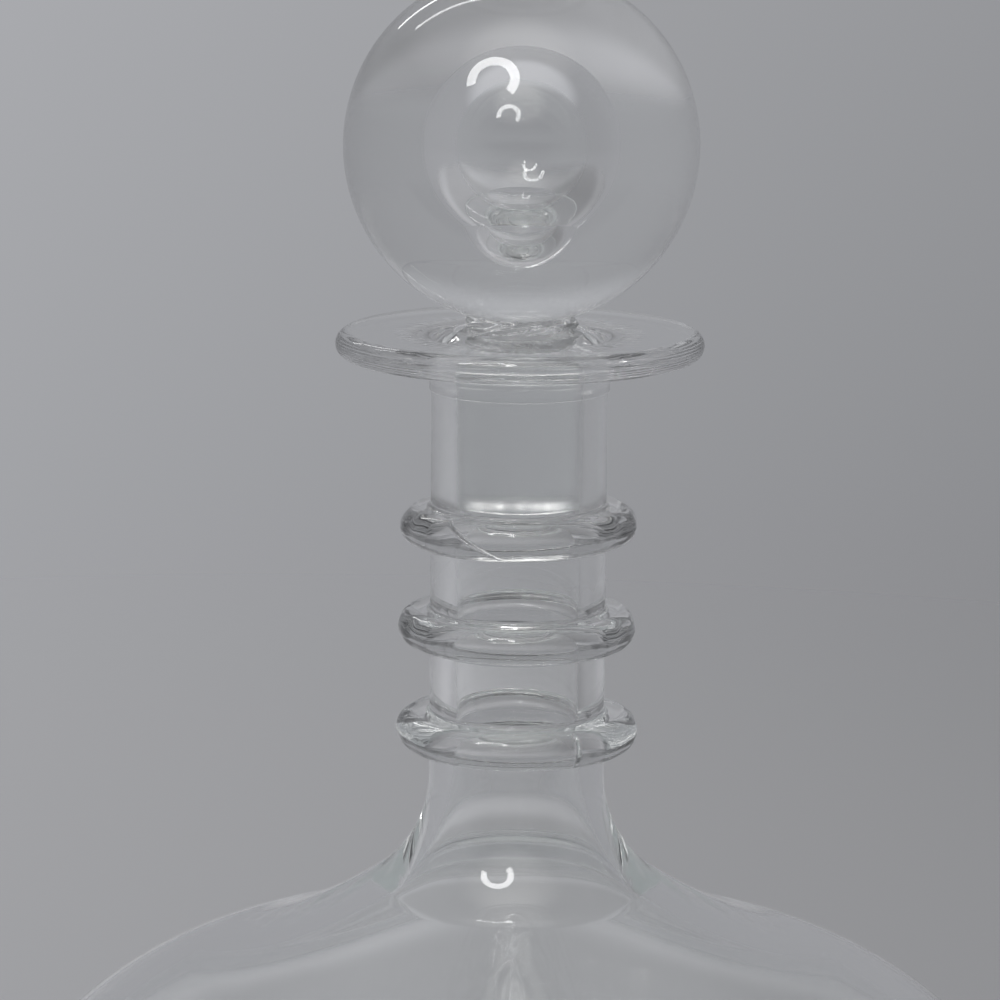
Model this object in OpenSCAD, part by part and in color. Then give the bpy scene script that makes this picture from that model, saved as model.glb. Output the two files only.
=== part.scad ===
// Ship's decanter: a broad blown bowl with a thick shoulder, three applied neck rings,
// an applied pouring lip and a hollow ball stopper on a ground, tapered plug.
// Every piece is a body of revolution about Z. The foot stands on the plane z = 0.

/* [Bowl] */
// Widest diameter of the bowl
bowl_d = 214; // [190:1:240]
// Height at which the shoulder runs into the straight neck
bowl_h = 106.6; // [98:0.2:124]
// Radius of the rounded edge between the wall and the foot
heel_r = 22; // [12:1:26]
// Slope of the shoulder where its hollow curve turns over into the round wall
turn_slope = 16.6; // [14:0.2:20]
// Radius of the long hollow curve of the shoulder
shoulder_sweep_r = 126; // [100:1:150]
// Slope at which the long hollow curve takes over from the tight one
sweep_slope = 35; // [31:1:40]
// Radius of the tight hollow curve at the root of the neck
neck_root_r = 25.2; // [20:0.2:30]
// Thickness of the bowl's wall and base
bowl_wall = 6.2; // [5.4:0.2:7.6]
// Width of the flat ring that the bowl stands on
foot_w = 19; // [10:1:30]
// Height of the hollow under the foot
kick_h = 4; // [1:0.5:6]
// Rise of the inside floor from the wall to the centre
floor_rise = 8; // [7:0.5:14]
// Diameter of the polished hollow where the blowing iron was broken off
pontil_d = 34; // [20:1:44]
// Depth of that polished hollow
pontil_t = 1.6; // [0.6:0.2:2.4]

/* [Neck] */
// Outside diameter of the neck
neck_d = 34; // [32:0.5:38]
// Bore of the neck
bore_d = 23.6; // [20:0.2:25]
// Length of the straight neck, up to the joint with the lip
neck_l = 75.4; // [71:0.2:94]
// How far above the root of the neck the bore starts to open out into the bowl
funnel_start = 6.4; // [4:0.2:10]
// Length of the ground seat, from the top of the lip down the bore
seat_l = 33.6; // [26:0.2:44]
// Widening of the seat's diameter from its lower end to its top
seat_taper = 1.2; // [0.6:0.1:2]

/* [Neck rings] */
// Diameter of the upper ring
ring_upper_d = 45.4; // [42:0.2:50]
// Diameter of the middle ring
ring_middle_d = 46.2; // [42:0.2:50]
// Diameter of the lower ring
ring_lower_d = 46.8; // [42:0.2:50]
// Thickness of a ring, whose edge is fully round
ring_t = 7.2; // [5:0.2:9]
// Distance from one ring to the next
ring_pitch = 20.2; // [16:0.2:22]
// Height of the lower ring's middle above the root of the neck
ring_start = 8.8; // [6:0.2:12]

/* [Lip] */
// Diameter of the lip
lip_d = 70.8; // [56:0.2:80]
// Thickness of the lip, whose edge is fully round
lip_t = 5.2; // [4:0.2:7]
// Height of the lip's underside above its joint with the neck
lip_root_h = 6.4; // [5:0.2:9]
// How far the root of the lip stands proud of the neck all round
lip_bead = 0.4; // [0.2:0.1:1]
// Radius of the hollow between the root and the underside
lip_fillet_r = 4.2; // [2:0.2:4.8]
// Radius of the rounded edge of the throat
throat_r = 0.8; // [0.4:0.2:2]

/* [Stopper] */
// Diameter of the ball
ball_d = 68; // [56:1:78]
// Gap between the underside of the ball and the top of the lip
ball_gap = 1.4; // [0.6:0.2:4]
// Diameter of the air bubble inside the ball
bubble_d = 25.2; // [18:0.2:32]
// Diameter of the bubble's tail where it leaves the round
tail_d = 14.4; // [10:0.2:16]
// How far the tail reaches below the round of the bubble
tail_l = 3; // [1:0.5:5]
// Diameter of the shank between the plug and the ball
shank_d = 20.6; // [14:0.2:21]
// Height of the cone between the plug and the shank
shank_cone_h = 1.2; // [0.6:0.2:1.6]
// How far the plug stops below the top of the lip
plug_drop = 0.8; // [0.4:0.2:2]
// How far the plug reaches out of the seat at its lower end
plug_tip = 1; // [0.5:0.5:4]
// Radius of the rounded lower edge of the plug
plug_edge_r = 1.5; // [0.5:0.5:3]
// Clearance of the plug in its seat, on the radius
seat_gap = 0.1; // [0.05:0.01:0.1]

/* [Hidden] */
$fn = 96;
// Largest turn between two neighbouring points of a curve, in degrees
curve_step = 3;

clear_glass = [0.82, 0.85, 0.87, 0.45];
ring_glass = [0.76, 0.80, 0.83, 0.55];
ground_glass = [0.72, 0.73, 0.75, 0.85];

bowl_r = bowl_d / 2;
neck_r = neck_d / 2;
bore_r = bore_d / 2;
seat_top_r = bore_r + seat_taper / 2;

// Heights of the joints, from the foot up
neck_top = bowl_h + neck_l;
lip_under = neck_top + lip_root_h;
lip_top = lip_under + lip_t;
seat_end = lip_top - seat_l;
ball_z = lip_top + ball_gap + ball_d / 2;

// Radius of the tapered seat at a height
function seat_r(height) = bore_r + seat_taper / 2 * (height - seat_end) / seat_l;

// Unit vector square to a wall that falls outwards at the given slope
function square_to(slope) = [sin(slope), cos(slope)];

// Points of an arc, without its first one, between two slopes of the wall.
// A hollow curve has its centre outside the glass and takes a negative radius.
function arc(centre, radius, slope_a, slope_b) =
    let (steps = max(2, ceil(abs(slope_b - slope_a) / curve_step)))
    [for (i = [1 : steps]) centre + radius * square_to(slope_a + (slope_b - slope_a) * i / steps)];

function reversed(points) = [for (i = [len(points) - 1 : -1 : 0]) points[i]];

// Points of a shallow dome over the axis, from its rim at height 0 to the crown, without the rim
function dome(rim_r, rise) =
    let (radius = (rim_r * rim_r + rise * rise) / (2 * rise))
    let (half_angle = 2 * atan(rise / rim_r))
    let (steps = max(4, ceil(half_angle / (curve_step / 2))))
    [for (i = [1 : steps])
        let (a = half_angle * (1 - i / steps))
        [radius * sin(a), radius * cos(a) - radius + rise]];

function raised(points, height) = [for (p = points) [p[0], p[1] + height]];

// Centres of the curves that make up the wall. Each one follows on from the last with no kink,
// and the round wall gets the radius that lets it run into the heel.
neck_root_c = [neck_r + neck_root_r, bowl_h];
sweep_start = neck_root_c - neck_root_r * square_to(sweep_slope);
sweep_c = sweep_start + shoulder_sweep_r * square_to(sweep_slope);
turn_point = sweep_c - shoulder_sweep_r * square_to(turn_slope);
heel_c = [bowl_r - heel_r, heel_r];
heel_to_turn = turn_point - heel_c;
wall_r = (heel_to_turn * heel_to_turn - heel_r * heel_r)
    / (2 * (heel_to_turn * square_to(turn_slope) - heel_r));
wall_c = turn_point - wall_r * square_to(turn_slope);
wall_to_heel = heel_c - wall_c;
heel_slope = atan2(wall_to_heel[0], wall_to_heel[1]);
foot_inner_r = heel_c[0] - foot_w;

// The wall's line from the long hollow curve down to the foot, moved into the glass by inset
function wall_line(inset) = concat(
    arc(sweep_c, -(shoulder_sweep_r + inset), sweep_slope, turn_slope),
    arc(wall_c, wall_r - inset, turn_slope, heel_slope),
    arc(heel_c, heel_r - inset, heel_slope, 180));

// The funnel from the bore to the bowl: an arc that leaves the bore straight down and ends on the
// inside of the shoulder, where the long hollow curve starts
funnel_top = bowl_h + funnel_start;
funnel_end = sweep_c - (shoulder_sweep_r + bowl_wall) * square_to(sweep_slope);
funnel_w = funnel_end[0] - bore_r;
funnel_h = funnel_top - funnel_end[1];
funnel_r = (funnel_w * funnel_w + funnel_h * funnel_h) / (2 * funnel_w);
funnel_c = [bore_r + funnel_r, funnel_top];

module decanter_body() {
    // Underside: the flat foot ring, a shallow hollow and the polished pontil hollow
    underside = concat([[foot_inner_r, 0]], dome(foot_inner_r, kick_h));
    outside = concat(arc(neck_root_c, -neck_root_r, 90, sweep_slope), wall_line(0));
    funnel = concat([[bore_r, funnel_top]], arc(funnel_c, -funnel_r, 90, acos(funnel_h / funnel_r)));
    inside = concat(
        reversed(raised(dome(heel_c[0], floor_rise), bowl_wall)),
        reversed(wall_line(bowl_wall)),
        reversed(funnel),
        [[bore_r, seat_end], [seat_r(neck_top), neck_top]]);
    pontil_r = ((pontil_d / 2) * (pontil_d / 2) + pontil_t * pontil_t) / (2 * pontil_t);
    color(clear_glass)
    difference() {
        rotate_extrude()
            polygon(concat([[neck_r, neck_top], [neck_r, bowl_h]], outside, underside, inside));
        translate([0, 0, kick_h + pontil_t - pontil_r])
            sphere(r = pontil_r);
    }
}

// A glass trail laid round the neck and tooled to a fully round edge
module neck_ring(diameter, index) {
    edge_r = ring_t / 2;
    edge_c = diameter / 2 - edge_r;
    color(ring_glass)
    translate([0, 0, bowl_h + ring_start + index * ring_pitch])
        rotate_extrude() {
            translate([neck_r, -edge_r])
                square([edge_c - neck_r, ring_t]);
            translate([edge_c, 0])
                intersection() {
                    circle(r = edge_r);
                    translate([0, -ring_t])
                        square([ring_t, 2 * ring_t]);
                }
        }
}

module neck_ring_lower() { neck_ring(ring_lower_d, 0); }
module neck_ring_middle() { neck_ring(ring_middle_d, 1); }
module neck_ring_upper() { neck_ring(ring_upper_d, 2); }

// The lip is a separate gather of glass: a short root on top of the neck that opens into a flat disc
module pouring_lip() {
    root_r = neck_r + lip_bead;
    edge_r = lip_t / 2;
    edge_c = [lip_d / 2 - edge_r, lip_under + edge_r];
    fillet_c = [root_r + lip_fillet_r, lip_under - lip_fillet_r];
    throat_c = [seat_top_r + throat_r, lip_top - throat_r];
    bead_c = [root_r - lip_bead, neck_top + lip_bead];
    color(clear_glass)
    rotate_extrude()
        polygon(concat(
            [[seat_r(neck_top), neck_top], [bead_c[0], neck_top]],
            arc(bead_c, lip_bead, 180, 90),
            [[root_r, fillet_c[1]]],
            arc(fillet_c, -lip_fillet_r, 90, 180),
            [[edge_c[0], lip_under]],
            arc(edge_c, edge_r, 180, 0),
            [[throat_c[0], lip_top]],
            arc(throat_c, throat_r, 360, 270)));
}

// A blown ball with a thick wall. Its bubble ends in a short rounded tail towards the shank.
module stopper_ball() {
    bubble_r = bubble_d / 2;
    tail_r = tail_d / 2;
    tail_top = -sqrt(bubble_r * bubble_r - tail_r * tail_r);
    tail_depth = tail_top + bubble_r + tail_l;
    color(clear_glass)
    translate([0, 0, ball_z])
        difference() {
            sphere(d = ball_d);
            sphere(d = bubble_d);
            translate([0, 0, tail_top])
                rotate_extrude()
                    polygon(concat(
                        [[0, tail_r], [tail_r / 2, tail_r / 2], [tail_r, 0]],
                        [for (p = dome(tail_r, tail_depth)) [p[0], -p[1]]]));
        }
}

// The ground plug carries the seat's taper, less the clearance, and a shank that meets the ball
module stopper_plug() {
    plug_top = lip_top - plug_drop;
    plug_end = seat_end - plug_tip;
    plug_top_r = seat_r(plug_top) - seat_gap;
    plug_end_r = seat_r(plug_end) - seat_gap;
    edge_c = [plug_end_r - plug_edge_r, plug_end + plug_edge_r];
    shank_r = shank_d / 2;
    color(ground_glass)
    difference() {
        rotate_extrude()
            polygon(concat(
                [[0, ball_z], [0, plug_end], [edge_c[0], plug_end]],
                arc(edge_c, plug_edge_r, 180, 90),
                [[plug_top_r, plug_top], [shank_r, plug_top + shank_cone_h], [shank_r, ball_z]]));
        translate([0, 0, ball_z])
            sphere(d = ball_d);
    }
}

decanter_body();
neck_ring_lower();
neck_ring_middle();
neck_ring_upper();
pouring_lip();
stopper_ball();
stopper_plug();
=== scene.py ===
import math

import bpy
import numpy as np
from mathutils import Matrix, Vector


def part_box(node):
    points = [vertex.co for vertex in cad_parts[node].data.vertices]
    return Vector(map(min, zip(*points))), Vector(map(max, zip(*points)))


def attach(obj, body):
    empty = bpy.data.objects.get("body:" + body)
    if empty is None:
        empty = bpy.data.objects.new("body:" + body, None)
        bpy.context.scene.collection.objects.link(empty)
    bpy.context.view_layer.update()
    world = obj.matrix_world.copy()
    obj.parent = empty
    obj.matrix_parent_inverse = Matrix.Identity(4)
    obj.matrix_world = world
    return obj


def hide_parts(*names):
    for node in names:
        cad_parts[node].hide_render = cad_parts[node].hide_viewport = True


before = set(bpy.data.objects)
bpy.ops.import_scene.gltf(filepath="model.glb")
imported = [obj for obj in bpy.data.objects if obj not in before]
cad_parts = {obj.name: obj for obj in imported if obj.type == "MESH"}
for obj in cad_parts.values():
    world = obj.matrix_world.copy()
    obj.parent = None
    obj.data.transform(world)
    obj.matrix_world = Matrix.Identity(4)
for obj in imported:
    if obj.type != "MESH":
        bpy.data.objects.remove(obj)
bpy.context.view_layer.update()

# Sizes that the frame gives, in metres
RING_NODES = ("neck_ring_lower", "neck_ring_middle", "neck_ring_upper")
bowl_r, _, neck_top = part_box("decanter_body")[1]
lip_r, _, lip_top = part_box("pouring_lip")[1]
ball_low, ball_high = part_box("stopper_ball")
ball_r = (ball_high.z - ball_low.z) / 2
ball_z = (ball_high.z + ball_low.z) / 2
plug_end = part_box("stopper_plug")[0].z

# Curves that the frame's boxes don't give, as the part's source has them, in metres and degrees
bowl_h = 0.1066
heel_r = 0.022
turn_slope = 16.6
shoulder_sweep_r = 0.126
sweep_slope = 35.0
neck_root_r = 0.0252
bowl_wall = 0.0062
foot_w = 0.019
kick_h = 0.004
floor_rise = 0.008
pontil_r = 0.017
pontil_t = 0.0016
neck_r = 0.017
bore_r = 0.0118
funnel_start = 0.0064
seat_l = 0.0336
seat_top_r = 0.0124
lip_t = 0.0052
lip_bead = 0.0004
lip_fillet_r = 0.0042
throat_r = 0.0008
bubble_r = 0.0126
tail_r = 0.0072
tail_l = 0.003
shank_r = 0.0103
shank_cone_h = 0.0012
plug_drop = 0.0008
plug_edge_r = 0.0015
seat_gap = 0.0001
lip_under = lip_top - lip_t
seat_end = lip_top - seat_l

# Hot glass runs into a small hollow where a ring meets the neck, and the plug is ground part of its way up
ring_fillet_r = 0.0008
ground_top = seat_end + 0.0245

# How finely a curve and a turn are divided
CURVE_STEP = 1.5
TURNS = 192
FINE_TURNS = 640

# The finishes of a piece, in the order of its material slots
CLEAR, FUSED, GROUND = range(3)


def square_to(slope):
    """Unit vectors square to a wall that falls outwards at these slopes: (sine, cosine) of the slope."""
    slope = np.radians(np.asarray(slope, float))
    return np.stack([np.sin(slope), np.cos(slope)], -1)


def arc(centre, radius, slope_a, slope_b, step=CURVE_STEP):
    """Points at one radius from a centre, the slope running from a to b. A hollow has a negative radius."""
    steps = max(2, math.ceil(abs(slope_b - slope_a) / step))
    return np.asarray(centre) + radius * square_to(np.linspace(slope_a, slope_b, steps + 1))


def line(start, end, longest=0.004):
    """Points evenly spaced from start to end, no further apart than the longest step."""
    start, end = np.asarray(start, float), np.asarray(end, float)
    steps = max(1, math.ceil(np.linalg.norm(end - start) / longest))
    return start + (end - start) * np.linspace(0, 1, steps + 1)[:, None]


def cap(centre_z, radius, rim_r, steps=32):
    """A round cap over the axis, from its rim to its crown: (R sin a, z + R cos a), a from the rim to 0."""
    angle = np.linspace(math.asin(rim_r / abs(radius)), 0, steps + 1)
    return np.stack([abs(radius) * np.sin(angle), centre_z + radius * np.cos(angle)], -1)


def cap_radius(rim_r, rise):
    """Radius of the round cap that rises this far over a rim of this radius."""
    return (rim_r ** 2 + rise ** 2) / (2 * rise)


def chain(*stretches):
    """Joins (points, finish) stretches end to end, into one profile and the finish of each of its steps."""
    profile, finishes = [], []
    for points, finish in stretches:
        points = np.asarray(points, float)
        if profile and np.allclose(profile[-1][-1], points[0], atol=1e-7):
            points = points[1:]
        finishes += [finish] * (len(points) if profile else len(points) - 1)
        profile.append(points)
    return np.concatenate(profile), np.array(finishes)


def lathe_faces(profile, finishes, turns):
    """Faces of a profile turned once about Z, over a grid of rows of points: quads between two rows, and
    three-cornered fans where a row lies on the axis. A profile that leaves the axis out joins its ends."""
    rows = len(profile)
    pole = profile[:, 0] < 1e-7
    ends = np.arange(rows) if pole[0] else np.append(np.arange(rows), 0)
    finishes = finishes if pole[0] else np.append(finishes, finishes[-1:])
    index = np.arange(rows * turns).reshape(rows, turns)
    index[pole] = index[pole, :1]
    low, high = index[ends[:-1]], index[ends[1:]]
    faces = np.stack([low, np.roll(low, -1, 1), np.roll(high, -1, 1), high], -1)
    finish = np.repeat(finishes, turns).reshape(low.shape)
    first, last = pole[ends[:-1]], pole[ends[1:]]
    plain = ~(first | last)
    quads = faces[plain].reshape(-1, 4)
    first_fan, last_fan = faces[first][..., [0, 2, 3]], faces[last][..., [0, 1, 2]]
    fans = np.concatenate([first_fan.reshape(-1, 3), last_fan.reshape(-1, 3)])
    fan_finish = np.concatenate([finish[first].ravel(), finish[last].ravel()])
    return quads, fans, finish[plain].ravel(), fan_finish


def turned(name, shells, materials, shape=None, turns=TURNS):
    """Profiles of (radius, height) points turned once about Z, as the shells of one piece: point (i, j) of a
    shell is at radius r_i, angle 2 pi j / turns and height z_i."""
    angle = np.linspace(0, 2 * np.pi, turns, endpoint=False)
    grids, quads, fans, quad_finish, fan_finish = [], [], [], [], []
    for profile, finishes in shells:
        start = sum(map(len, grids))
        made = lathe_faces(profile, finishes, turns)
        quads.append(made[0] + start)
        fans.append(made[1] + start)
        quad_finish.append(made[2])
        fan_finish.append(made[3])
        radius, height = profile[:, :1], profile[:, 1:]
        grid = np.stack([radius * np.cos(angle), radius * np.sin(angle), height + 0 * angle], -1)
        grids.append(grid.reshape(-1, 3))
    quads, fans = np.concatenate(quads), np.concatenate(fans)
    used, renumbered = np.unique(np.concatenate([quads.ravel(), fans.ravel()]), return_inverse=True)
    quads, fans = renumbered[:quads.size].reshape(-1, 4), renumbered[quads.size:].reshape(-1, 3)
    points = np.concatenate(grids)[used]
    if shape is not None:
        points = shape(points)
    mesh = bpy.data.meshes.new(name)
    mesh.from_pydata(points.tolist(), [], quads.tolist() + fans.tolist())
    for material in materials:
        mesh.materials.append(material)
    finish = np.concatenate(quad_finish + fan_finish).astype(np.int32)
    mesh.polygons.foreach_set("material_index", finish)
    mesh.polygons.foreach_set("use_smooth", np.ones(len(finish), bool))
    mesh.set_sharp_from_angle(angle=math.radians(35))
    mesh.update()
    piece = bpy.data.objects.new(name, mesh)
    bpy.context.scene.collection.objects.link(piece)
    return piece


class Wire:
    """An output socket of a node tree. Sums on it add Math nodes, and node() adds any other node."""

    def __init__(self, tree, socket=None):
        self.tree = tree
        self.socket = socket

    def node(self, kind, settings=None, inputs=None, output=0):
        """Adds a node: its settings first, then its inputs by name or place, each a value or another wire."""
        made = self.tree.nodes.new("ShaderNode" + kind)
        for name, value in (settings or {}).items():
            setattr(made, name, value)
        for key, value in (inputs or {}).items():
            if isinstance(value, Wire):
                self.tree.links.new(value.socket, made.inputs[key])
            else:
                made.inputs[key].default_value = value
        return Wire(self.tree, made.outputs[output])

    def math(self, operation, *values):
        return self.node("Math", {"operation": operation}, dict(enumerate(values)))

    def __add__(self, other):
        return self.math("ADD", self, other)

    def __sub__(self, other):
        return self.math("SUBTRACT", self, other)

    def __mul__(self, other):
        return self.math("MULTIPLY", self, other)

    def __pow__(self, other):
        return self.math("POWER", self, other)

    def __rsub__(self, other):
        return self.math("SUBTRACT", other, self)

    __radd__ = __add__
    __rmul__ = __mul__

    def held(self, low, high):
        """The value, held between two limits."""
        return self.math("MAXIMUM", self.math("MINIMUM", self, high), low)

    def fade(self, start, end):
        """0 before start, 1 after end and a smooth step between them."""
        return self.node("MapRange", {"interpolation_type": "SMOOTHSTEP"}, {0: self, 1: start, 2: end})

    def tinted(self, tint):
        """The value as a colour: three parts, each the value times the tint's part."""
        return self.node("CombineXYZ", None, {part: self * share for part, share in enumerate(tint)})

    def parts(self):
        """The three components of a vector."""
        return [self.node("SeparateXYZ", None, {0: self}, axis) for axis in "XYZ"]


def material_wire(name):
    """A new material, its wire and its output node's socket, with no shader yet."""
    material = bpy.data.materials.new(name)
    material.use_nodes = True
    tree = material.node_tree
    tree.nodes.clear()
    return material, Wire(tree), tree.nodes.new("ShaderNodeOutputMaterial").inputs["Surface"]


# Light that has been turned this often inside the wall of the bowl is let out where it is
MOST_TURNS = 14
CAUGHT_BELOW = (0.101, 0.098)


def see_through(wire, glass, surface, tint):
    """Lets lamp light pass straight through the glass to the floor, a little dimmed, so the shadow stays soft,
    and lets out light that is caught low in the bowl's wall."""
    shadow, scattered, turns = [wire.node("LightPath", None, None, way)
                                for way in ("Is Shadow Ray", "Is Diffuse Ray", "Ray Depth")]
    passing = shadow.math("MAXIMUM", shadow, scattered)
    height = wire.node("TexCoord", None, None, "Object").parts()[2]
    caught = turns.math("GREATER_THAN", turns, MOST_TURNS) * height.fade(*CAUGHT_BELOW)
    passing = passing.math("MAXIMUM", passing, caught)
    through = wire.node("BsdfTransparent", None, {"Color": tint})
    mixed = wire.node("MixShader", None, {0: passing, 1: glass, 2: through})
    wire.tree.links.new(mixed.socket, surface)


def clear_glass():
    """Fire-polished glass: a faint slow ripple from blowing and tooling, and a dull scuffed foot."""
    material, wire, surface = material_wire("clear_glass")
    place = wire.node("TexCoord", None, None, "Object")
    height = place.parts()[2]
    ripple = wire.node("TexNoise", None, {"Vector": place, "Scale": 45.0, "Detail": 1.0, "Roughness": 0.4})
    bump = wire.node("Bump", None, {"Height": ripple, "Strength": 0.06, "Distance": 0.0006})
    scuffs = wire.node("TexNoise", None, {"Vector": place, "Scale": 900.0, "Detail": 3.0})
    scuffed = scuffs.fade(0.45, 0.65) * (1 - height.fade(0.0001, 0.0009))
    breath = wire.node("TexNoise", None, {"Vector": place, "Scale": 14.0, "Detail": 2.0}).fade(0.35, 0.75)
    colour = wire.node("Mix", {"data_type": "RGBA"},
                       {0: breath, 6: (0.995, 0.998, 0.997, 1), 7: (0.982, 0.988, 0.987, 1)}, 2)
    glass = wire.node("BsdfPrincipled", None, {
        "Base Color": colour, "Roughness": scuffed * 0.35 + breath * 0.006, "IOR": 1.5,
        "Transmission Weight": 1.0, "Normal": bump})
    see_through(wire, glass, surface, (0.93, 0.945, 0.945, 1))
    return material


def ground_glass():
    """Finely ground glass: fine rings left by grinding round the axis, over an even matt."""
    material, wire, surface = material_wire("ground_glass")
    place = wire.node("TexCoord", None, None, "Object")
    height = place.parts()[2]
    rings = wire.node("TexNoise", {"noise_dimensions": "1D"}, {"W": height * 2600.0, "Detail": 2.0})
    grit = wire.node("TexNoise", None, {"Vector": place, "Scale": 2400.0, "Detail": 2.0})
    bump = wire.node("Bump", None, {"Height": rings * 0.5 + grit * 0.5, "Strength": 0.12, "Distance": 0.00005})
    glass = wire.node("BsdfPrincipled", None, {
        "Base Color": (0.97, 0.975, 0.975, 1), "Roughness": rings * 0.06 + grit * 0.05 + 0.09, "IOR": 1.5,
        "Transmission Weight": 1.0, "Normal": bump})
    see_through(wire, glass, surface, (0.86, 0.87, 0.87, 1))
    return material


def fused_joint():
    """The hidden face where two gathers of hot glass became one: its skin takes a trace of the light, so that
    light which goes to and fro in a ring gets dark."""
    material, wire, surface = material_wire("fused_joint")
    skin = wire.node("BsdfTransparent", None, {"Color": (0.95, 0.95, 0.95, 1)})
    wire.tree.links.new(skin.socket, surface)
    return material


GLASS = [clear_glass(), fused_joint(), ground_glass()]


# Centres of the wall's curves, each following on from the last with no kink
neck_root_c = np.array([neck_r + neck_root_r, bowl_h])
sweep_c = neck_root_c + (shoulder_sweep_r - neck_root_r) * square_to(sweep_slope)
turn_point = sweep_c - shoulder_sweep_r * square_to(turn_slope)
heel_c = np.array([bowl_r - heel_r, heel_r])
heel_to_turn = turn_point - heel_c
wall_r = (heel_to_turn @ heel_to_turn - heel_r ** 2) / (2 * (heel_to_turn @ square_to(turn_slope) - heel_r))
wall_c = turn_point - wall_r * square_to(turn_slope)
heel_slope = math.degrees(math.atan2(*(heel_c - wall_c)))


# The funnel from the bore to the bowl leaves the bore straight down and ends on the inside of the shoulder
funnel_top = bowl_h + funnel_start
funnel_end = sweep_c - (shoulder_sweep_r + bowl_wall) * square_to(sweep_slope)
funnel_w, funnel_h = funnel_end[0] - bore_r, funnel_top - funnel_end[1]
funnel_r = (funnel_w ** 2 + funnel_h ** 2) / (2 * funnel_w)
funnel_slope = math.degrees(math.acos(funnel_h / funnel_r))


def wall_line(inset):
    """The wall's line from the long hollow curve down to the foot, moved into the glass by inset."""
    return np.concatenate([
        arc(sweep_c, -(shoulder_sweep_r + inset), sweep_slope, turn_slope, 0.75),
        arc(wall_c, wall_r - inset, turn_slope, heel_slope)[1:],
        arc(heel_c, heel_r - inset, heel_slope, 180)[1:]])


def seat_r(height):
    """Radius of the tapered seat at a height."""
    return bore_r + (seat_top_r - bore_r) * (height - seat_end) / seat_l


def ring_sizes(node):
    """Outer radius, middle height and half thickness of a neck ring, from its box."""
    low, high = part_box(node)
    return high.x, (low.z + high.z) / 2, (high.z - low.z) / 2


def waves(angle, phase, orders=(2, 3, 5)):
    """A slow uneven wave round the axis: sines of a few whole orders, each weaker than the last."""
    return sum(np.sin(n * angle + phase * n * n) / n for n in orders)


# Hand work on the rings: a tilt, a swell, an uneven edge, fine lumps, and the mark where a trail's ends lap
RING_TILT = 0.0003
RING_SWELL = 0.09
RING_UNEVEN = 0.0003
RING_LUMPS = 0.00081
LAP_DEPTH = 0.0006
LAP_WIDTH = 0.9
# Angle of each lap mark at mid height, and how far it runs round for each metre of height, in degrees
LAP_MARKS = {"neck_ring_lower": (-59.5, 0), "neck_ring_middle": (176, 0), "neck_ring_upper": (-113, -4800)}


def laid(node):
    """How hand work leaves a ring. All of it grows from nothing at the neck to its full size at the edge."""
    ring_r, ring_z, _ = ring_sizes(node)
    phase = 1 + RING_NODES.index(node)
    lap_angle, lap_run = LAP_MARKS[node]

    def shape(points):
        x, y, z = points.T
        angle, radius, height = np.arctan2(y, x), np.hypot(x, y), z - ring_z
        out = np.clip((radius - neck_r) / (ring_r - neck_r), 0, 1)
        off = (np.degrees(angle) - lap_angle - lap_run * height + 180) % 360 - 180
        lift = RING_TILT * np.cos(angle - 2.1 * phase) + RING_SWELL * height * waves(angle, phase)
        grow = (RING_UNEVEN * waves(angle, phase + 0.7) + RING_LUMPS * waves(angle, phase + 0.3, (9, 14, 23))
                - LAP_DEPTH * np.exp(-(off / LAP_WIDTH) ** 2) * out)
        return np.stack([x + out * grow * np.cos(angle), y + out * grow * np.sin(angle), z + out * lift], -1)

    return shape


# Fan of tool marks under the lip, from its root outwards, gone within a skin below the lip's top
FAN_DEPTH = 0.00003
FAN_REACH = 0.006
FAN_ORDERS = (41, 58, 73, 97)
FAN_SKIN = (0.001, 0.003)


def fanned(points):
    """Lifts and drops the lip's underside in a fan of fine radial waves, which fade out further out and up."""
    x, y, z = points.T
    angle, radius = np.arctan2(y, x), np.hypot(x, y)
    spread = np.sin(np.pi * np.clip((radius - neck_r - lip_bead) / FAN_REACH, 0, 1))
    under = np.clip((lip_top - FAN_SKIN[0] - z) / (FAN_SKIN[1] - FAN_SKIN[0]), 0, 1)
    wave = sum(np.sin(n * angle + n * n) for n in FAN_ORDERS)
    return np.stack([x, y, z + FAN_DEPTH * spread * under * wave * (1 + waves(angle, 0.4))], -1)


# Lumps of the glass that joins the ball to its plug, and how far two waves turn in a metre of height, in radians
SHANK_LUMPS = 0.0012
SHANK_TURNS = (350, -600)


def lumpy(points):
    """Pushes the shank in and out in uneven lumps that vanish at the plug's top and at the ball."""
    x, y, z = points.T
    angle = np.arctan2(y, x)
    joint_z = ball_z - math.sqrt(ball_r ** 2 - shank_r ** 2)
    along = np.clip((z - lip_top + plug_drop) / (joint_z - lip_top + plug_drop), 0, 1)
    on_shank = np.hypot(x, y) > 0.9 * shank_r
    push = SHANK_LUMPS * np.sin(np.pi * along) * on_shank * (
        waves(angle + SHANK_TURNS[0] * z, 0.5) + waves(angle + SHANK_TURNS[1] * z, 1.7, (4, 7, 11)))
    return np.stack([x + push * np.cos(angle), y + push * np.sin(angle), z], -1)


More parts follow.
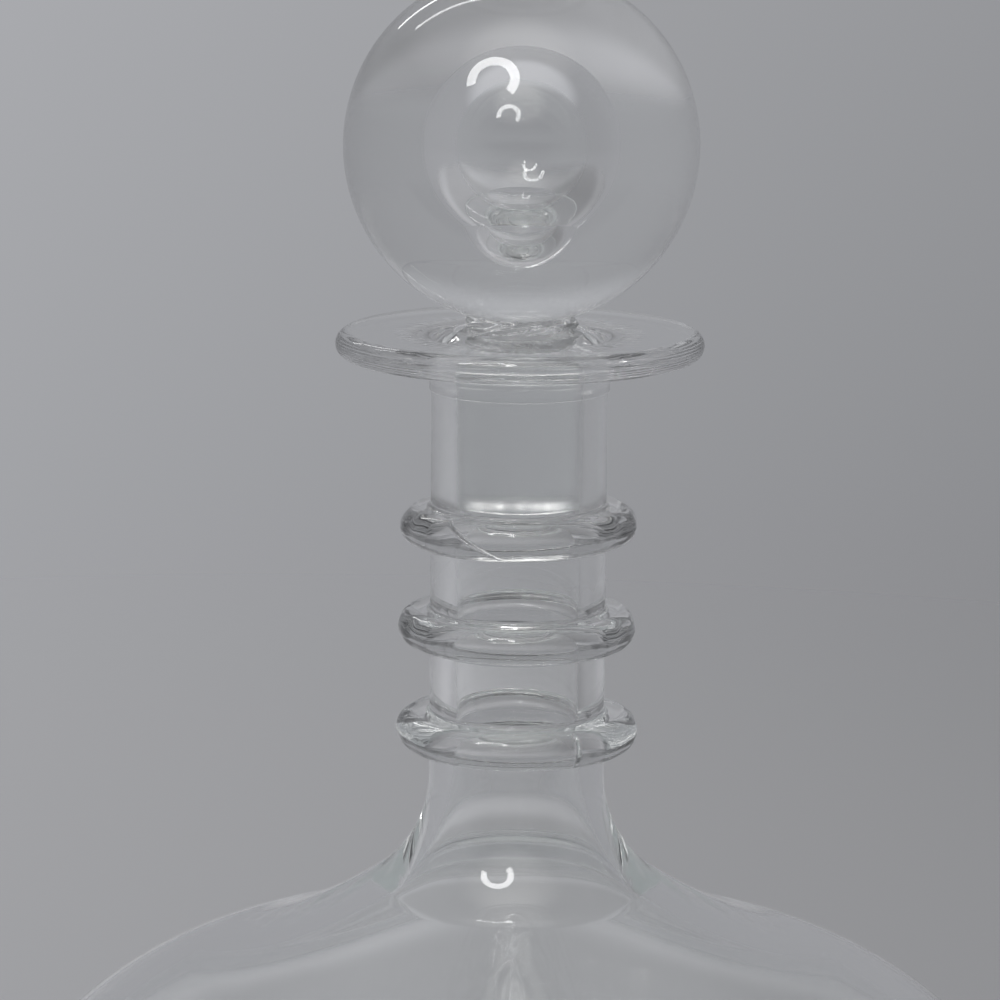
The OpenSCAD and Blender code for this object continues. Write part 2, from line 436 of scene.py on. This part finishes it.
def decanter_body():
    """The blown bowl, shoulder and neck: one profile up the outside, over the neck and down the inside."""
    foot_inner_r = heel_c[0] - foot_w
    kick_r = cap_radius(foot_inner_r, kick_h)
    kick_c = kick_h - kick_r
    hollow_r = cap_radius(pontil_r, pontil_t)
    hollow_c = kick_h + pontil_t - hollow_r
    meet_z = (kick_r ** 2 - hollow_r ** 2 + hollow_c ** 2 - kick_c ** 2) / (2 * (hollow_c - kick_c))
    meet_r = math.sqrt(hollow_r ** 2 - (meet_z - hollow_c) ** 2)
    kick = cap(kick_c, kick_r, foot_inner_r)
    neck = []
    start = bowl_h
    for node in RING_NODES:
        _, ring_z, half = ring_sizes(node)
        reach = half + ring_fillet_r
        neck.append((line([neck_r, start], [neck_r, ring_z - reach]), CLEAR))
        neck.append((line([neck_r, ring_z - reach], [neck_r, ring_z + reach], 0.0012), FUSED))
        start = ring_z + reach
    floor_r = cap_radius(heel_c[0], floor_rise)
    return chain(
        (cap(hollow_c, hollow_r, meet_r, 12)[::-1], CLEAR),
        (kick[kick[:, 0] > meet_r][::-1], CLEAR),
        (line([foot_inner_r, 0], heel_c * [1, 0]), CLEAR),
        (wall_line(0)[::-1], CLEAR),
        (arc(neck_root_c, -neck_root_r, sweep_slope, 90), CLEAR),
        *neck,
        (line([neck_r, start], [neck_r, neck_top]), CLEAR),
        (line([neck_r, neck_top], [seat_r(neck_top), neck_top]), FUSED),
        (line([seat_r(neck_top), neck_top], [bore_r, seat_end]), GROUND),
        (line([bore_r, seat_end], [bore_r, funnel_top]), CLEAR),
        (arc([bore_r + funnel_r, funnel_top], -funnel_r, 90, funnel_slope, 0.75), CLEAR),
        (wall_line(bowl_wall), CLEAR),
        (cap(bowl_wall + floor_rise - floor_r, floor_r, heel_c[0]), CLEAR))


def neck_ring(node):
    """A trail of glass laid round the neck: hollow, round edge, hollow, and the hidden face on the neck."""
    ring_r, ring_z, half = ring_sizes(node)
    hollow_r = neck_r + ring_fillet_r
    reach = half + ring_fillet_r
    return chain(
        (arc([hollow_r, ring_z - reach], -ring_fillet_r, 90, 180, 8), CLEAR),
        (arc([ring_r - half, ring_z], half, 180, 0, 3), CLEAR),
        (arc([hollow_r, ring_z + reach], -ring_fillet_r, 0, 90, 8), CLEAR),
        (line([neck_r, ring_z + reach], [neck_r, ring_z - reach], 0.0006)[:-1], FUSED))


def pouring_lip():
    """The lip's gather: its root on the neck, a hollow, the round edge, the flat top and the throat."""
    root_r = neck_r + lip_bead
    inner_r = seat_r(neck_top)
    hollow_z = lip_under - lip_fillet_r
    hollow_slope = math.degrees(math.acos(min(0, (hollow_z - neck_top - lip_bead) / lip_fillet_r)))
    hollow_c = [root_r + lip_fillet_r * math.sin(math.radians(hollow_slope)), hollow_z]
    edge_r = lip_t / 2
    edge_c = np.array([lip_r - edge_r, lip_under + edge_r])
    return chain(
        (line([inner_r, neck_top], [neck_r, neck_top]), FUSED),
        (arc([neck_r, neck_top + lip_bead], lip_bead, 180, 90, 15), CLEAR),
        (arc(hollow_c, -lip_fillet_r, hollow_slope, 180, 2), CLEAR),
        (line([hollow_c[0], lip_under], [edge_c[0], lip_under], 0.001), CLEAR),
        (arc(edge_c, edge_r, 180, 0, 3), CLEAR),
        (line([edge_c[0], lip_top], [seat_top_r + throat_r, lip_top]), CLEAR),
        (arc([seat_top_r + throat_r, lip_top - throat_r], throat_r, 360, 270, 9), CLEAR),
        (line([seat_top_r, lip_top - throat_r], [inner_r, neck_top])[:-1], GROUND))


def stopper_ball():
    """The ball's round from the hidden cap on the shank up to its top."""
    joint_slope = 180 - math.degrees(math.asin(shank_r / ball_r))
    return chain(
        (arc([0, ball_z], ball_r, 180, joint_slope, 1), FUSED),
        (arc([0, ball_z], ball_r, joint_slope, 0), CLEAR))


def stopper_bubble():
    """The bubble's skin, from its top down: a round, then the shallow cup of its tail."""
    tail_slope = 180 - math.degrees(math.asin(tail_r / bubble_r))
    tail_z = ball_z + bubble_r * math.cos(math.radians(tail_slope))
    tail_depth = tail_z - (ball_z - bubble_r - tail_l)
    cup_r = cap_radius(tail_r, tail_depth)
    cup_slope = 180 - 2 * math.degrees(math.atan(tail_depth / tail_r))
    cup = arc([0, tail_z - tail_depth + cup_r], cup_r, cup_slope, 180)
    return chain((arc([0, ball_z], bubble_r, 0, tail_slope), CLEAR), (cup, CLEAR))


def stopper_plug():
    """The plug's flat end, rounded edge and ground taper, then the clear taper, the cone, the shank and the
    hidden cap."""
    plug_top = lip_top - plug_drop
    top_r, mid_r, end_r = (seat_r(z) - seat_gap for z in (plug_top, ground_top, plug_end))
    edge_c = np.array([end_r - plug_edge_r, plug_end + plug_edge_r])
    joint_z = ball_z - math.sqrt(ball_r ** 2 - shank_r ** 2)
    return chain(
        (line([0, plug_end], [edge_c[0], plug_end]), CLEAR),
        (arc(edge_c, plug_edge_r, 180, 90, 6), CLEAR),
        (line([end_r, edge_c[1]], [mid_r, ground_top]), GROUND),
        (line([mid_r, ground_top], [top_r, plug_top]), CLEAR),
        (line([top_r, plug_top], [shank_r, plug_top + shank_cone_h], 0.0002), CLEAR),
        (line([shank_r, plug_top + shank_cone_h], [shank_r, joint_z], 0.0002), CLEAR),
        (cap(ball_z, -ball_r, shank_r, 24), FUSED))


def on_axis(chained):
    """The same profile with its first and last points put exactly on the axis."""
    profile, finishes = chained
    profile[[0, -1], 0] = 0
    return profile, finishes


def placed(piece, body, node):
    """Rides a piece on its body, in the place of its node, and hides the node's part from the record."""
    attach(piece, body)
    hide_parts(node)


body = turned("blown_body", [on_axis(decanter_body())], GLASS)
placed(body, "decanter", "decanter_body")
rings = []
for ring_node in RING_NODES:
    ring_name = ring_node.replace("neck_ring", "laid_ring")
    rings.append(turned(ring_name, [neck_ring(ring_node)], GLASS, laid(ring_node), FINE_TURNS))
    placed(rings[-1], "decanter", ring_node)
lip = turned("flared_lip", [pouring_lip()], GLASS, fanned, FINE_TURNS)
placed(lip, "decanter", "pouring_lip")
ball = turned("blown_ball", [on_axis(stopper_ball()), on_axis(stopper_bubble())], GLASS)
placed(ball, "stopper", "stopper_ball")
plug = turned("ground_plug", [on_axis(stopper_plug())], GLASS, lumpy, FINE_TURNS)
placed(plug, "stopper", "stopper_plug")


# Stage: a pale grey floor that fades into the light all round, so that no edge shows behind the glass
FLOOR_R = 1.1
FLOOR_FADE = (0.35, 0.95)
FLOOR_DROP = 0.0003
FLOOR_GREY, FLOOR_TINT = 0.53, (0.99, 0.995, 1.02)
# Painted light on the floor: a little lighter on the left and darker to the right, as light falls across it
PAINTED_SIDE_FALL, SIDE_REACH = 0.9, 0.25
# Light that the bowl gathers on the floor under it, which the glass sees and the camera doesn't
POOL_GLOW, POOL_TINT = 0.14, (1.0, 0.98, 0.93)
POOL_FADE = (0.085, 0.125)
# The floor in front of the bowl, which the glass sees and the camera doesn't, is in the dark
FRONT_FADE = (0.11, 0.17)
FRONT_DARK = 0.85
# Light on the floor further back, which the ball shows upside down
BACK_LIGHT, BACK_RISE, BACK_FALL = 0.3, (0.27, 0.42), (0.48, 0.75)


def floor_material():
    """Matt grey, painted a little lighter on the left and darker to the right as light falls, fading out towards
    the rim.
    To the glass it is also dark in front, lighter at the back and lit under the bowl."""
    material, wire, surface = material_wire("pale_floor")
    x, y, _ = wire.node("TexCoord", None, None, "Object").parts()
    away = (x * x + y * y) ** 0.5
    # Painted light: the floor's grey falls from left to right
    level = FLOOR_GREY * (1 - PAINTED_SIDE_FALL * x.held(-SIDE_REACH, SIDE_REACH))
    seen = wire.node("LightPath", None, None, "Is Camera Ray")
    pool = POOL_GLOW * (1 - away.fade(*POOL_FADE)) * (1 - seen)
    front = FRONT_DARK * (0 - y).fade(*FRONT_FADE)
    back = BACK_LIGHT * y.fade(*BACK_RISE) * (1 - y.fade(*BACK_FALL))
    level = level * (1 + (1 - seen) * (back - front))
    cloth = wire.node("BsdfPrincipled", None, {
        "Base Color": level.tinted(FLOOR_TINT), "Roughness": 1.0, "Specular IOR Level": 0.0,
        "Emission Color": pool.tinted(POOL_TINT), "Emission Strength": 1.0})
    nothing = wire.node("BsdfTransparent")
    faded = wire.node("MixShader", None, {0: away.fade(*FLOOR_FADE), 1: cloth, 2: nothing})
    wire.tree.links.new(faded.socket, surface)
    return material


def stage_disc():
    """The floor: rings of points at growing radius round the axis."""
    radius = np.linspace(0, FLOOR_R, 12)
    disc = np.stack([radius, np.full(12, -FLOOR_DROP)], -1)
    return turned("floor", [(disc, np.zeros(11, int))], [floor_material()])


floor = stage_disc()
floor.data.flip_normals()


def glow(name, strength, colour):
    """A plain lamp surface, which lets other light through it."""
    material, wire, surface = material_wire(name)
    shine = wire.node("Emission", None, {"Color": (*colour, 1), "Strength": strength})
    lamp = wire.node("AddShader", None, {0: shine, 1: wire.node("BsdfTransparent")})
    wire.tree.links.new(lamp.socket, surface)
    return material


def sheet(name, points, material):
    """A lamp face from a grid of points, seen by the glass and not by the camera."""
    rows, columns = points.shape[:2]
    index = np.arange(rows * columns).reshape(rows, columns)
    faces = np.stack([index[:-1, :-1], index[:-1, 1:], index[1:, 1:], index[1:, :-1]], -1).reshape(-1, 4)
    mesh = bpy.data.meshes.new(name)
    mesh.from_pydata(points.reshape(-1, 3).tolist(), [], faces.tolist())
    mesh.materials.append(material)
    lamp = bpy.data.objects.new(name, mesh)
    bpy.context.scene.collection.objects.link(lamp)
    lamp.visible_camera = False
    lamp.visible_diffuse = False
    return lamp


def towards(azimuth, elevation):
    """Unit vector from the object: azimuth 0 is the camera's side, positive to the right of the picture."""
    a, e = math.radians(azimuth), math.radians(elevation)
    return np.array([math.sin(a) * math.cos(e), -math.cos(a) * math.cos(e), math.sin(e)])


RING_LAMP = {"azimuth": -24.6, "elevation": 46.0, "away": 0.5, "radius": 12.6, "half_width": 2.8,
             "arc": (-25, 200), "strength": 11.0}


def ring_lamp():
    """A round tube lamp with a gap: band between two circles square to its line to the ball."""
    out = towards(RING_LAMP["azimuth"], RING_LAMP["elevation"])
    side = np.cross([0, 0, 1], out)
    side /= np.linalg.norm(side)
    up = np.cross(out, side)
    across = np.radians(RING_LAMP["radius"] + RING_LAMP["half_width"] * np.linspace(-1, 1, 5))[:, None, None]
    turn = np.radians(np.linspace(*RING_LAMP["arc"], 72))[None, :, None]
    points = (np.array([0, 0, ball_z]) + RING_LAMP["away"] * out
              + RING_LAMP["away"] * np.tan(across) * (np.cos(turn) * side + np.sin(turn) * up))
    return sheet("ring_lamp", points, glow("ring_lamp_glow", RING_LAMP["strength"], (1, 1, 1)))


ring_lamp()

# Two straight tube lamps behind and above, each between two directions from the ball, in degrees. Only the
# skin of the ball, the lip and the rings mirrors them
TUBE_LAMPS = {"low_tube": ((-148.7, 21.1), (-173.5, 48)), "high_tube": ((-133, 35.5), (-154, 59))}
TUBE_AWAY, TUBE_HALF_WIDTH, TUBE_STRENGTH = 0.9, 1.1, 5.0


def tube_lamp(name):
    """A straight tube lamp: band beside the line from one end to the other, square to its line to the ball."""
    start, end = (TUBE_AWAY * towards(*way) for way in TUBE_LAMPS[name])
    across = np.cross(start + end, end - start)
    across *= TUBE_AWAY * math.tan(math.radians(TUBE_HALF_WIDTH)) / np.linalg.norm(across)
    middle = np.array([0, 0, ball_z]) + np.linspace(start, end, 24)
    shine = glow(name + "_glow", TUBE_STRENGTH, (1, 1, 1))
    lamp = sheet(name, np.stack([middle - across, middle + across]), shine)
    lamp.visible_transmission = False
    lamp.light_linking.receiver_collection = mirrors


mirrors = bpy.data.collections.new("mirrors")
for mirror in (ball, lip, *rings):
    mirrors.objects.link(mirror)
for tube in TUBE_LAMPS:
    tube_lamp(tube)

# Light all round: pale walls, a lighter ceiling, a dark side towards the camera and a soft warm glow above it
WALL_GREY, WALL_FALL, WALL_TINT = 0.335, 0.02, (0.983, 0.997, 1.048)
BACKDROP_GREY, BACKDROP_FALL, BACKDROP_RISE = 0.335, 0.45, 0.35
BACKDROP_REACH, BACKDROP_DROP, BACKDROP_HEIGHT = 0.13, 0.14, 0.2
DARK_FRONT, FRONT_SIDE, FRONT_BASE = 0.15, (0.2, 0.75), (-0.06, 0.06)
CEILING_GREY, CEILING_FADE = 0.16, (0.5, 0.76)
GLOW_TOWARDS = towards(-6, 65)
GLOW_LEVEL, GLOW_FADE, GLOW_TINT = 1.3, (0.81, 0.97), (1.0, 0.985, 0.95)


def light_tent():
    """Level = wall grey falling to the right and lighter overhead, dimmed towards the camera above the floor,
    plus a round soft glow. The camera sees the wall behind fall off a little more."""
    tent = bpy.data.worlds.new("light_tent")
    bpy.context.scene.world = tent
    tent.use_nodes = True
    tent.node_tree.nodes.clear()
    wire = Wire(tent.node_tree)
    way = wire.node("TexCoord", None, None, "Generated")
    x, y, z = way.parts()
    seen = wire.node("LightPath", None, None, "Is Camera Ray")
    beside = x.held(-BACKDROP_REACH, BACKDROP_REACH)
    above = (z + BACKDROP_DROP).held(-BACKDROP_HEIGHT, BACKDROP_HEIGHT)
    behind = BACKDROP_GREY - BACKDROP_FALL * beside + BACKDROP_RISE * above
    dim = 1 - (1 - DARK_FRONT) * (0 - y).fade(*FRONT_SIDE) * z.fade(*FRONT_BASE)
    walls = (WALL_GREY - WALL_FALL * x + CEILING_GREY * z.fade(*CEILING_FADE)) * dim
    walls = walls + seen * (behind - walls)
    cosine = wire.node("VectorMath", {"operation": "DOT_PRODUCT"}, {0: way, 1: GLOW_TOWARDS}, "Value")
    glows = GLOW_LEVEL * cosine.fade(*GLOW_FADE)
    level = wire.node("VectorMath", {"operation": "ADD"}, {0: walls.tinted(WALL_TINT), 1: glows.tinted(GLOW_TINT)})
    sky = wire.node("Background", None, {"Color": level, "Strength": 1.0})
    out = tent.node_tree.nodes.new("ShaderNodeOutputWorld")
    tent.node_tree.links.new(sky.socket, out.inputs["Surface"])


light_tent()

# Camera, from where the photograph was taken: 905 mm in front of the axis, 143 mm above the lip's middle
PICTURE = 1000
FOCAL_PIXELS = 4780
LIP_MIDDLE_PIXEL = (519, 343)
CAMERA_AWAY = 0.905
CAMERA_OVER_LIP = 0.143
CAMERA_ROLL = 0.45


def photo_camera():
    """A long lens whose picture has the lip's middle at its pixel."""
    lens = bpy.data.cameras.new("photo_camera")
    lens.sensor_width = 36
    lens.lens = FOCAL_PIXELS * lens.sensor_width / PICTURE
    lens.clip_end = 100
    yaw = math.atan((LIP_MIDDLE_PIXEL[0] - PICTURE / 2) / FOCAL_PIXELS)
    pitch = (math.atan(CAMERA_OVER_LIP / CAMERA_AWAY)
             + math.atan((PICTURE / 2 - LIP_MIDDLE_PIXEL[1]) / FOCAL_PIXELS))
    camera = bpy.data.objects.new("photo_camera", lens)
    bpy.context.scene.collection.objects.link(camera)
    height = lip_top - lip_t / 2 + CAMERA_OVER_LIP
    camera.matrix_world = (Matrix.Translation((0, -CAMERA_AWAY, height)) @ Matrix.Rotation(yaw, 4, "Z")
                           @ Matrix.Rotation(math.pi / 2 - pitch, 4, "X")
                           @ Matrix.Rotation(math.radians(CAMERA_ROLL), 4, "Z"))
    bpy.context.scene.camera = camera


photo_camera()

scene = bpy.context.scene
scene.view_settings.view_transform = "Standard"
scene.cycles.max_bounces = 48
scene.cycles.transmission_bounces = 48
scene.cycles.glossy_bounces = 24
scene.cycles.transparent_max_bounces = 64
